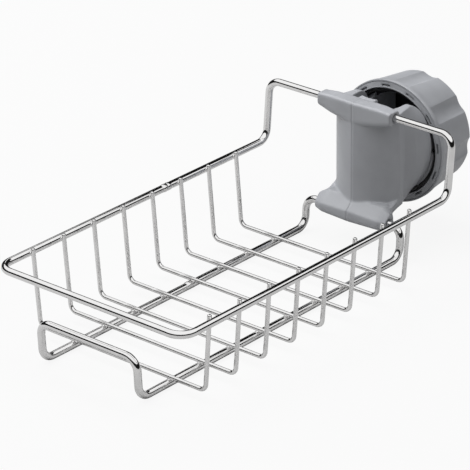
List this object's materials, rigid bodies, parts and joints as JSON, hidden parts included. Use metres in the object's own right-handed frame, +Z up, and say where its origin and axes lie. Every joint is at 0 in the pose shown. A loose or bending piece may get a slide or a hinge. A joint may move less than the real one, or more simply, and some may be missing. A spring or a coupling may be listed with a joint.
{
  "type": "sponge holder",
  "caption": "Wire sponge basket with a grey screw clamp: turning the fluted knob presses a ring against a tap's upright pipe in the padded seat.",
  "frame": {"origin": "on the axis of the pipe's seat, at the height of the knob's axis", "axes": "+Z up along the pipe, +Y to the rear along the knob's axis, -Y towards the basket's front end, +X to the right of someone who faces that end"},
  "size_m": [0.1094, 0.2341, 0.0725],
  "materials": {
    "wire": "polished",
    "clamp_plastic": "satin",
    "pad_rubber": "matt",
    "knob_plastic": "satin",
    "ring_plastic": "satin"
  },
  "bodies": {
    "holder": {"rim_wire": "wire", "base_wire": "wire", "cross_wire_1": "wire", "cross_wire_2": "wire", "cross_wire_3": "wire", "cross_wire_4": "wire", "cross_wire_5": "wire", "cross_wire_6": "wire", "cross_wire_7": "wire", "cross_wire_8": "wire", "clamp_body": "clamp_plastic", "seat_pad": "pad_rubber"},
    "ring": {"pressure_ring": "ring_plastic"},
    "knob": {"knob_shell": "knob_plastic"}
  },
  "joints": [
    {"name": "clamp_travel", "type": "slide", "parent": "holder", "child": "ring", "axis": [0, 1, 0], "range_m": [0, 0.01]},
    {"name": "knob_turn", "type": "hinge", "parent": "ring", "child": "knob", "pos_m": [0, 0, 0], "axis": [0, 1, 0], "range_deg": [0, 720]}
  ],
  "couplings": [
    {"joint": "clamp_travel", "follows": "knob_turn", "m_per_rad": 0.00079577}
  ]
}
